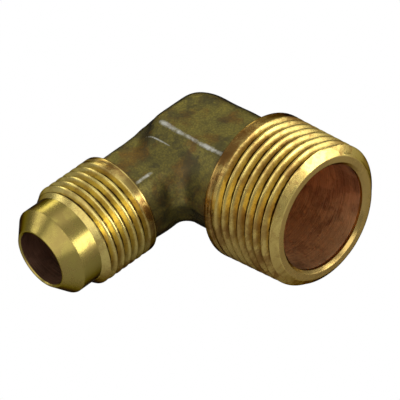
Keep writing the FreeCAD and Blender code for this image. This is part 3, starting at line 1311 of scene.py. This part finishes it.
@dataclass(frozen=True)
class BrassShader:
    """What every brass finish ends in: its relief, its grazing tint and how metallic it is."""

    relief: Relief
    metal: float = 1.0

    def link(self, bench: Bench, output: bpy.types.Node, base: Any, rough: Any, height: Any) -> None:
        """Joins colour, roughness and relief in a shader and links it to the material's output.

        Args:
            bench: Bench of the material's tree.
            output: The material's output node.
            base: Colour.
            rough: Roughness.
            height: Height of the relief.
        """
        bump = bench.add("ShaderNodeBump", {"Height": height, "Strength": self.relief.strength,
                                            "Distance": self.relief.depth})
        shader = bench.add("ShaderNodeBsdfPrincipled", {
            "Base Color": base, "Roughness": rough, "Metallic": self.metal,
            "Normal": bump.outputs[0], "Specular Tint": GRAZING_TINT})
        bench.feed(output.inputs["Surface"], shader.outputs[0])


def new_material(name: str) -> tuple[bpy.types.Material, Bench, bpy.types.Node]:
    """Makes a node material with only its output.

    Args:
        name: Name of the material.

    Returns:
        The material, the bench of its tree and its output node.
    """
    material = bpy.data.materials.new(name)
    material.use_nodes = True
    material.node_tree.nodes.clear()
    bench = Bench(material.node_tree)
    return material, bench, bench.add("ShaderNodeOutputMaterial")


# ---------------------------------------------------------------------------------------------
# Finishes
# ---------------------------------------------------------------------------------------------

@dataclass(frozen=True)
class ForgedSkin:
    """Dull, oxidised skin that the forging die left, with rubbed edges and painted highlights on the edges
    that face the lights, and forging scale with painted shade behind the collars.
    """

    colour: Colour = (0.310, 0.260, 0.068)
    stain: Colour = (0.260, 0.125, 0.036)
    smoke: Colour = (0.078, 0.073, 0.046)
    # Near-white colour of the rubbed edges, which also paints their highlights
    worn_and_highlight: Colour = (0.92, 0.92, 0.82)
    # Forging scale colour, which also paints the shade in the step behind each collar
    scale: Colour = (0.110, 0.045, 0.018)
    stains: Patches = Patches(0.0060, 0.54, 0.08)
    stain_share: float = 0.70
    clouds: Patches = Patches(0.0045, 0.56, 0.09)
    cloud_shift: Point = (0.03, 0.05, 0.02)
    cloud_share: float = 0.65
    spots: Patches = Patches(0.0009, 0.55, 0.08)
    spot_share: float = 0.35
    speck_rate: float = 2600.0
    speck_levels: Pair = (0.62, 0.42)
    speck_share: float = 0.42
    scale_and_shade_least: float = 0.35
    scale_and_shade_most: float = 0.85
    rim_shade: float = 0.9
    grain_size: float = 0.0004
    roughness: float = 0.41
    grain_roughness: float = 0.10
    wear_polish: float = 0.14
    shader: BrassShader = BrassShader(Relief(0.5, 0.00012), 0.86)

    def material(self, name: str) -> bpy.types.Material:
        """Makes the finish.

        Args:
            name: Name of the material.

        Returns:
            The material.
        """
        material, bench, output = new_material(name)
        place = bench.place()
        grain = bench.effect(forged_grain(), {"Place": place, "Size": self.grain_size}).outputs["Height"]
        stains = self.stains.mask(bench, place)
        clouds = self.clouds.mask(bench, bench.vector("ADD", place, self.cloud_shift).outputs[0])
        specks = bench.span(bench.noise(place, self.speck_rate, 2.0, 0.7), *self.speck_levels,
                            0.0, self.speck_share)
        # Rubbed metal and painted highlights along the lit edges
        wear_and_highlight = bench.effect(edge_wear(), {"Place": place, "Edge": bench.attribute("edge"), "Amount": 1.0})
        worn_and_highlight = wear_and_highlight.outputs["Mask"]
        # Forging scale with painted shade behind the collars
        soot = bench.times(bench.attribute("soot"), bench.plus(self.scale_and_shade_least, stains))
        base = bench.mix(bench.times(stains, self.stain_share), self.colour, self.stain)
        base = bench.mix(specks, base, self.smoke)
        base = bench.mix(bench.times(clouds, self.cloud_share), base, self.smoke)
        base = bench.mix(bench.times(self.spots.mask(bench, place), self.spot_share), base, self.smoke)
        base = bench.mix(bench.math("MINIMUM", soot, self.scale_and_shade_most), base, self.scale)
        base = bench.mix(bench.rim(self.rim_shade), base, SHADE)
        base = bench.mix(worn_and_highlight, base, self.worn_and_highlight)
        rough = bench.plus(bench.times(grain, self.grain_roughness), self.roughness)
        rough = bench.math("SUBTRACT", rough, bench.times(worn_and_highlight, self.wear_polish))
        self.shader.link(bench, output, base, rough, grain)
        return material


@dataclass(frozen=True)
class TurnedThread:
    """Bright machine-cut thread with smears and spots of oxide, painted shade down its grooves and towards
    its rim, and scale with painted shade behind its collar and on its lower side.
    """

    axis: Axis
    colour: Colour = (0.85, 0.69, 0.22)
    # Oxide colour of the smears and spots, which also paints shade behind the collar and on the lower side
    tarnish_and_shade: Colour = (0.33, 0.155, 0.040)
    # Near-black painted shade, used in the groove roots, towards the rim and in the deepest scale and shade
    root: Colour = (0.045, 0.018, 0.006)
    shade_start: float = 0.84
    root_shade_fade: float = 0.12
    root_shade_share: float = 0.94
    ragged_rate: float = 900.0
    ragged: float = 0.3
    smears: Patches = Patches(0.004, 0.55, 0.13)
    stained: float = 0.4
    spots: Patches = Patches(0.0011, 0.60, 0.07)
    spot_share: float = 0.45
    thread_scale_and_shade_least: float = 0.6
    thread_scale_and_shade_most: float = 0.8
    thread_scale_and_shade_dark: float = 0.30
    rim_shade: float = 0.8
    roughness: float = 0.24
    groove_roughness: float = 0.10
    smear_roughness: float = 0.08
    marks: ToolMarks = ToolMarks(0.00009, 1.2)
    shader: BrassShader = BrassShader(Relief(0.35, 0.00003))

    def material(self, name: str) -> bpy.types.Material:
        """Makes the finish.

        Args:
            name: Name of the material.

        Returns:
            The material.
        """
        material, bench, output = new_material(name)
        place = bench.place()
        smears, groove = self.smears.mask(bench, place), bench.attribute("groove")
        ragged = bench.times(bench.noise(place, self.ragged_rate, 3.0, 0.6), self.ragged)
        # Painted shade down in the groove roots
        groove_shade = bench.span(bench.plus(groove, ragged), self.shade_start, self.shade_start + self.root_shade_fade)
        # Forging scale with painted shade behind the collar, and painted shade on the lower side
        thread_scale_and_shade = bench.times(bench.attribute("soot"), bench.plus(self.thread_scale_and_shade_least, smears))
        base = bench.mix(bench.times(smears, self.stained), self.colour, self.tarnish_and_shade)
        base = bench.mix(bench.times(self.spots.mask(bench, place), self.spot_share), base, self.tarnish_and_shade)
        base = bench.mix(bench.math("MINIMUM", thread_scale_and_shade, self.thread_scale_and_shade_most), base, self.tarnish_and_shade)
        base = bench.mix(bench.times(thread_scale_and_shade, self.thread_scale_and_shade_dark), base, self.root)
        base = bench.mix(bench.times(groove_shade, self.root_shade_share), base, self.root)
        # Painted shade towards the rim
        base = bench.mix(bench.rim(self.rim_shade), base, self.root)
        rough = bench.plus(bench.times(groove, self.groove_roughness), self.roughness)
        rough = bench.plus(rough, bench.times(smears, self.smear_roughness))
        marks = self.marks.cut(bench, place, self.axis)
        self.shader.link(bench, output, base, rough, marks.outputs["Height"])
        return material


@dataclass(frozen=True)
class TurnedFace:
    """Smooth turned face with fine rings from the tool and a light haze."""

    axis: Axis
    colour: Colour = (0.62, 0.43, 0.14)
    haze: Colour = (0.40, 0.27, 0.09)
    ring_share: float = 0.3
    smears: Patches = Patches(0.0042, 0.54, 0.12)
    smear_share: float = 0.40
    spots: Patches = Patches(0.0010, 0.62, 0.06)
    spot_share: float = 0.5
    rim_shade: float = 0.6
    roughness: float = 0.22
    smear_roughness: float = 0.10
    marks: ToolMarks = ToolMarks(0.00013, 0.6)
    shader: BrassShader = BrassShader(Relief(0.3, 0.00003))

    def material(self, name: str) -> bpy.types.Material:
        """Makes the finish.

        Args:
            name: Name of the material.

        Returns:
            The material.
        """
        material, bench, output = new_material(name)
        place = bench.place()
        marks, smears = self.marks.cut(bench, place, self.axis), self.smears.mask(bench, place)
        rings = bench.times(marks.outputs["Tone"], self.ring_share)
        base = bench.mix(bench.plus(rings, bench.times(smears, self.smear_share)), self.colour, self.haze)
        base = bench.mix(bench.times(self.spots.mask(bench, place), self.spot_share), base, self.haze)
        base = bench.mix(bench.rim(self.rim_shade), base, SHADE)
        rough = bench.plus(bench.times(smears, self.smear_roughness), self.roughness)
        self.shader.link(bench, output, base, rough, marks.outputs["Height"])
        return material


@dataclass(frozen=True)
class DrilledBore:
    """Drilled bore: coarse rings from the drill, browned by heat and oil, with painted light towards its
    bottom.
    """

    axis: Axis
    colour: Colour = (1.0, 0.58, 0.32)
    burnt: Colour = (0.24, 0.085, 0.04)
    # Colour of the painted light low in the bore
    bright: Colour = (1.0, 0.70, 0.33)
    painted_light_heights: Pair = (-0.001, -0.009)
    painted_light_share: float = 0.7
    ring_levels: Pair = (0.35, 0.65)
    ring_share: float = 0.38
    smears: Patches = Patches(0.005, 0.52, 0.10)
    smear_share: float = 0.45
    roughness: float = 0.36
    ring_roughness: float = 0.12
    marks: ToolMarks = ToolMarks(0.00022, 2.4)
    shader: BrassShader = BrassShader(Relief(0.8, 0.00012), 0.88)

    def material(self, name: str) -> bpy.types.Material:
        """Makes the finish.

        Args:
            name: Name of the material.

        Returns:
            The material.
        """
        material, bench, output = new_material(name)
        place = bench.place()
        marks = self.marks.cut(bench, place, self.axis)
        rings = bench.span(marks.outputs["Height"], *self.ring_levels, 0.0, self.ring_share)
        share = bench.plus(rings, bench.times(self.smears.mask(bench, place), self.smear_share))
        height = bench.add("ShaderNodeSeparateXYZ", {0: place}).outputs["Z"]
        # Painted light, growing towards the bottom of the bore
        lit = bench.span(height, *self.painted_light_heights, 0.0, self.painted_light_share)
        base = bench.mix(share, bench.mix(lit, self.colour, self.bright), self.burnt)
        rough = bench.plus(bench.times(marks.outputs["Tone"], self.ring_roughness), self.roughness)
        self.shader.link(bench, output, base, rough, marks.outputs["Height"])
        return material


# ---------------------------------------------------------------------------------------------
# The elbow
# ---------------------------------------------------------------------------------------------

@dataclass
class ElbowBody:
    """The whole elbow: both turned ends, the forging between them and the bores."""

    sizes: Interfaces
    columns: int = 192
    outer_pivot: tuple[float, float] = (11.25, -14.1)
    inner_pivot: tuple[float, float] = (6.2, -8.6)
    corner_planes: int = 84
    run_step: float = 0.36
    ray_reach: float = 32.0
    fillet_steps: tuple[float, ...] = (0.01, 0.05, 0.12, 0.22, 0.35, 0.5, 0.75, 1.0, 1.3)

    def forging(self) -> Forging:
        """The forged shape, with its body, heel and neck sized from the wrench flats."""
        flat = self.sizes.flat_height
        return Forging(
            sizes=self.sizes,
            body=DraftedSide(edge=11.1, flat_edge=5.66, flat_height=flat, draft=7.0),
            heel=DraftedSide(edge=8.55, flat_edge=2.45, flat_height=flat, draft=7.0),
            neck=DraftedSide(edge=8.25, flat_edge=5.08, flat_height=6.5, draft=7.0),
        )

    def forged_rings(self, skin: RingSkin) -> None:
        """Adds the rings from the back of the flare collar round to the back of the pipe collar.

        Formula: the steps are fine in the shoulder fillets and even between them.

        Args:
            skin: Skin to add to.
        """
        forging, fan, near = self.forging(), SectionFan(*self.outer_pivot), np.array(self.fillet_steps)
        flare_back, pipe_back = flare_collar_back(self.sizes), pipe_collar_back(self.sizes)
        flare = np.concatenate([flare_back - near, self.even_run(flare_back - near[-1], -fan.pivot_y)])
        pipe = np.concatenate([self.even_run(fan.pivot_x, pipe_back - near[-1]), pipe_back - near[-2::-1]])
        corner = np.linspace(0, math.pi / 2, self.corner_planes + 1)[1:]
        for planes in (fan.along_flare(flare), fan.round_corner(corner), fan.along_pipe(pipe)):
            rings = solve_rings(planes, self.columns, forging.distance, self.ray_reach)
            # The edge mark paints rubbed metal with painted highlights; the other mark paints forging scale
            # with painted shade behind the collars
            skin.add_rings(rings, Zone.FORGING, edge=forging.wear_and_highlight_mask(rings), soot=forging.scale_and_shade_mask(rings))

    def even_run(self, start: float, end: float) -> np.ndarray:
        """Even places after the start up to the end, no further apart than the run step."""
        return np.linspace(start, end, math.ceil(abs(end - start) / self.run_step) + 1)[1:]

    def build(self) -> bpy.types.Object:
        """Builds the closed skin, from the flare end's lip round to the same lip from inside.

        Returns:
            The elbow, at the origin.
        """
        skin = RingSkin(self.columns)
        outer, inner = SectionFan(*self.outer_pivot), SectionFan(*self.inner_pivot)
        flare, pipe = FlareEnd(self.sizes, outer), PipeEnd(self.sizes, outer)
        flare.add_to(skin)
        self.forged_rings(skin)
        pipe.add_to(skin)
        pipe_bore = pipe.bore_outline(self.inner_pivot[0])[1:]
        skin.add_rings(pipe.rings_at(pipe_bore, self.columns), Zone.PIPE_BORE)
        Waterway(self.sizes, inner).add_to(skin)
        flare_bore = flare.bore_outline(-self.inner_pivot[1])
        skin.add_rings(flare.rings_at(flare_bore, self.columns), Zone.FLARE_BORE)
        elbow = bpy.data.objects.new(SKIN, skin.mesh(SKIN))
        bpy.context.collection.objects.link(elbow)
        return elbow

    def dress(self, elbow: bpy.types.Object) -> None:
        """Gives each zone of the skin its finish.

        Args:
            elbow: The elbow that build made.
        """
        finishes = {
            Zone.FORGING: ForgedSkin(),
            Zone.FLARE_THREAD: TurnedThread(Axis.FLARE, shade_start=1.04),
            Zone.FLARE_NOSE: TurnedFace(Axis.FLARE, colour=(0.47, 0.385, 0.095)),
            Zone.FLARE_BORE: DrilledBore(Axis.FLARE, colour=(0.42, 0.23, 0.15), burnt=(0.16, 0.08, 0.05),
                                        # The flare bore's painted light is dimmer
                                        bright=(0.50, 0.30, 0.18)),
            Zone.PIPE_THREAD: TurnedThread(Axis.PIPE, colour=(0.86, 0.66, 0.20), stained=0.65),
            Zone.PIPE_FACE: TurnedFace(Axis.PIPE),
            Zone.PIPE_BORE: DrilledBore(Axis.PIPE),
        }
        for zone in Zone:
            elbow.data.materials.append(finishes[zone].material(f"brass_{zone.name.lower()}"))


# ---------------------------------------------------------------------------------------------
# Studio
# ---------------------------------------------------------------------------------------------

def direction(azimuth: float, elevation: float) -> Vector:
    """Unit vector from the object at an azimuth from -Y towards +X and an elevation, in degrees."""
    turn, rise = math.radians(azimuth), math.radians(elevation)
    return Vector((math.sin(turn) * math.cos(rise), -math.cos(turn) * math.cos(rise), math.sin(rise)))


@dataclass(frozen=True)
class Softbox:
    """A soft rectangular light that faces the middle of the object."""

    name: str
    azimuth: float
    elevation: float
    width: float
    height: float
    glow: float
    distance: float = 0.5

    def place(self, target: Vector) -> None:
        """Adds the light.

        Formula: power = pi * area * glow, which makes the box look as bright at any size.

        Args:
            target: Point that the light faces.
        """
        light = bpy.data.lights.new(self.name, "AREA")
        light.shape = "RECTANGLE"
        light.size, light.size_y = self.width, self.height
        light.energy = math.pi * self.width * self.height * self.glow
        lamp = bpy.data.objects.new(self.name, light)
        way = direction(self.azimuth, self.elevation)
        facing = way.to_track_quat("Z", "Y").to_matrix().to_4x4()
        lamp.matrix_world = Matrix.Translation(target + way * self.distance) @ facing
        lamp.visible_camera = False
        bpy.context.collection.objects.link(lamp)


@dataclass(frozen=True)
class Studio:
    """Pale floor, soft lights, bright surroundings and the camera."""

    target: Point = (3.9, -3.4, -6.8)
    azimuth: float = 51.605
    elevation: float = 37.292
    roll: float = -10.037
    distance: float = 440.86
    lens: float = 224.84
    floor_size: float = 6.0
    floor_grey: float = 0.58
    floor_gap: float = 0.00002
    floor_points: int = 5
    horizon: Pair = (-0.2, 0.75)
    room_glow: Pair = (0.17, 0.42)
    clip: Pair = (0.01, 20.0)

    def boxes(self) -> list[Softbox]:
        """The lights: behind, beside the pipe end and beyond it, near, beside the flare, above, in front."""
        return [
            Softbox("back_box", 240.0, 27.0, 0.20, 0.12, 2.6),
            Softbox("pipe_side_box", 122.0, 15.0, 0.24, 0.27, 4.0),
            Softbox("near_box", 84.0, 31.0, 0.24, 0.18, 1.5),
            Softbox("pipe_far_box", 145.0, 2.0, 0.12, 0.16, 2.2),
            Softbox("flare_side_box", 308.0, 27.0, 0.20, 0.16, 1.4),
            Softbox("top_box", 190.0, 66.0, 0.26, 0.20, 0.55),
            Softbox("front_box", 10.0, 20.0, 0.50, 0.34, 0.85),
            Softbox("low_box", 345.0, 6.0, 0.60, 0.10, 0.45),
        ]

    def floor(self, low: float) -> bpy.types.Object:
        """Makes the floor: pure pale where the camera sees it and a mid grey in reflections.

        Args:
            low: Height of the object's lowest point, in metres.

        Returns:
            The floor.
        """
        side = np.linspace(-self.floor_size / 2, self.floor_size / 2, self.floor_points)
        x, y = np.meshgrid(side, side)
        points = np.stack([x, y, np.full_like(x, low - self.floor_gap)], -1).reshape(-1, 3)
        number = np.arange(x.size).reshape(x.shape)
        faces = np.stack([number[:-1, :-1], number[:-1, 1:], number[1:, 1:], number[1:, :-1]], -1)
        mesh = bpy.data.meshes.new("studio_floor")
        mesh.from_pydata(points, [], faces.reshape(-1, 4))
        floor = bpy.data.objects.new("studio_floor", mesh)
        bpy.context.collection.objects.link(floor)
        material, bench, output = new_material("pale_floor")
        seen = bench.add("ShaderNodeEmission", {"Color": (1.0, 1.0, 1.0, 1.0), "Strength": 1.0})
        grey = bench.add("ShaderNodeBsdfDiffuse", {"Color": (*[self.floor_grey] * 3, 1.0)})
        path = bench.add("ShaderNodeLightPath")
        shown = bench.add("ShaderNodeMixShader", {0: path.outputs["Is Camera Ray"], 1: grey.outputs[0],
                                                  2: seen.outputs[0]})
        bench.tree.links.new(shown.outputs[0], output.inputs["Surface"])
        mesh.materials.append(material)
        return floor

    def surroundings(self) -> None:
        """Makes the world: white to the camera, and for reflections dim below and brighter above."""
        world = bpy.data.worlds.new("studio")
        world.use_nodes = True
        world.node_tree.nodes.clear()
        bench = Bench(world.node_tree)
        way = bench.add("ShaderNodeTexCoord").outputs["Generated"]
        height = bench.add("ShaderNodeSeparateXYZ", {0: way}).outputs["Z"]
        level = bench.span(height, *self.horizon, *self.room_glow)
        room = bench.add("ShaderNodeBackground", {"Color": (1.0, 0.985, 0.96, 1.0), "Strength": level})
        white = bench.add("ShaderNodeBackground", {"Color": (1.0, 1.0, 1.0, 1.0), "Strength": 1.0})
        path = bench.add("ShaderNodeLightPath")
        shown = bench.add("ShaderNodeMixShader", {0: path.outputs["Is Camera Ray"], 1: room.outputs[0],
                                                  2: white.outputs[0]})
        output = bench.add("ShaderNodeOutputWorld")
        bench.tree.links.new(shown.outputs[0], output.inputs["Surface"])
        bpy.context.scene.world = world

    def camera(self) -> bpy.types.Object:
        """Makes the camera, which looks at the target from its azimuth and elevation, with its roll.

        Returns:
            The camera.
        """
        lens = bpy.data.cameras.new("camera")
        lens.lens = self.lens
        lens.clip_start, lens.clip_end = self.clip
        camera = bpy.data.objects.new("camera", lens)
        turn = Matrix.Rotation(math.radians(self.azimuth), 4, "Z")
        tilt = Matrix.Rotation(math.radians(90 - self.elevation), 4, "X")
        roll = Matrix.Rotation(math.radians(self.roll), 4, "Z")
        eye = Vector(self.target) * MM + direction(self.azimuth, self.elevation) * self.distance * MM
        camera.matrix_world = Matrix.Translation(eye) @ turn @ tilt @ roll
        bpy.context.collection.objects.link(camera)
        bpy.context.scene.camera = camera
        return camera

    def build(self, low: float) -> None:
        """Builds the floor, the lights, the surroundings and the camera.

        Args:
            low: Height of the object's lowest point, in metres.
        """
        self.floor(low)
        for box in self.boxes():
            box.place(Vector((0.0, 0.0, 0.0)))
        self.surroundings()
        self.camera()
        bpy.context.scene.view_settings.view_transform = "Standard"


# ---------------------------------------------------------------------------------------------
# Making it all
# ---------------------------------------------------------------------------------------------

def signed_volume(mesh: bpy.types.Mesh) -> float:
    """Volume that a triangle mesh encloses, in cubic metres, positive when its faces point outwards.

    Formula: the sum over the faces of the corners' triple product, divided by six.

    Args:
        mesh: Closed mesh of triangles.

    Returns:
        The volume.
    """
    points = np.empty(len(mesh.vertices) * 3)
    mesh.vertices.foreach_get("co", points)
    corners = np.empty(len(mesh.loops), np.int32)
    mesh.loops.foreach_get("vertex_index", corners)
    first, second, third = np.moveaxis(points.reshape(-1, 3)[corners.reshape(-1, 3)], 1, 0)
    return float(np.sum(first * np.cross(second, third)) / 6)


def main() -> None:
    """Builds the elbow and the studio, and reports each piece."""
    logging.basicConfig(level=logging.INFO, format="%(name)s: %(message)s")
    body = ElbowBody(Interfaces.read(frame["record"]))
    elbow = body.build()
    body.dress(elbow)
    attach(elbow, "root")
    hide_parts(NODE)
    volume = signed_volume(elbow.data) / MM ** 3
    LOG.info("%s: %d triangles, %.0f cubic millimetres", elbow.name, len(elbow.data.polygons), volume)
    low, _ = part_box(NODE)
    Studio().build(low.z)


if __name__ == "__main__":
    main()
